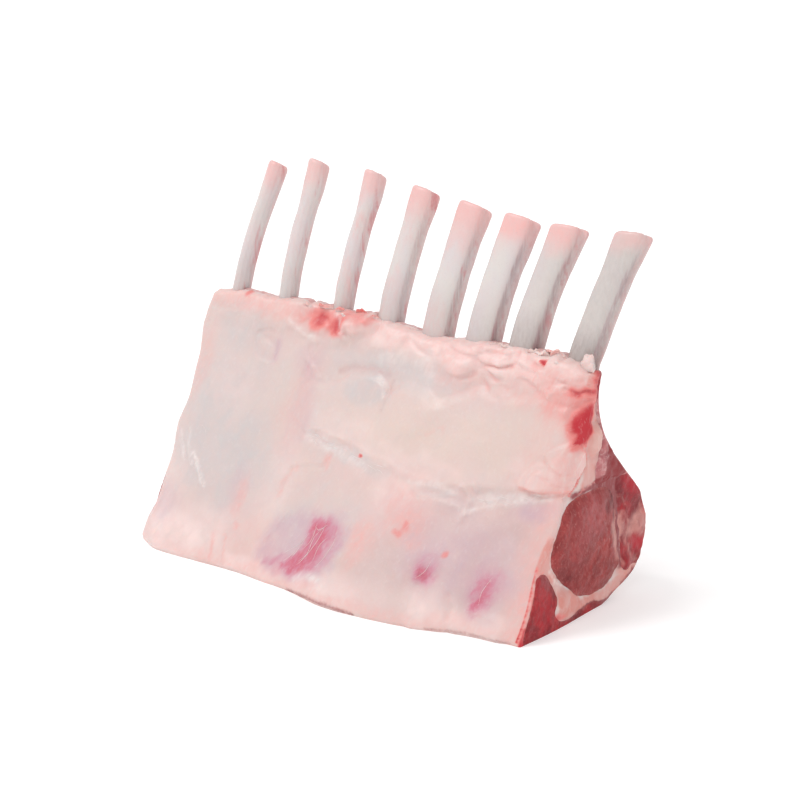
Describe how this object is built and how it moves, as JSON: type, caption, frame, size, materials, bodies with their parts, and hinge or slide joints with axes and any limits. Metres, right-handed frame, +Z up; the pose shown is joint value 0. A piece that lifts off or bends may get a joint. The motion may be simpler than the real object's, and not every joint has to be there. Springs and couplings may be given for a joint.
{
  "type": "rack of lamb",
  "caption": "Raw rack of lamb with trimmed rib bones, a pale fat cap in front and the eye muscle showing at both cut faces; stands on its chine cut",
  "frame": {"origin": "middle of the bounding box at its lowest height, on the table", "axes": "X along the spine towards the larger cut face, Y from the fat cap to the bone side, Z up"},
  "size_m": [0.1963, 0.0991, 0.151],
  "materials": {
    "fat": "moist raw fat, off-white and pink",
    "eye_meat": "moist cut lean meat, fine grain",
    "dark_meat": "moist dark red meat",
    "membrane": "meat under a thin moist membrane",
    "bone": "scraped rib bone, satin"
  },
  "bodies": {
    "root": {"fat_cap": "fat", "eye_muscle": "eye_meat", "front_muscle": "dark_meat", "back_muscle": "dark_meat", "rib_muscle": "membrane", "rib_1": "bone", "rib_2": "bone", "rib_3": "bone", "rib_4": "bone", "rib_5": "bone", "rib_6": "bone", "rib_7": "bone", "rib_8": "bone"}
  },
  "joints": []
}
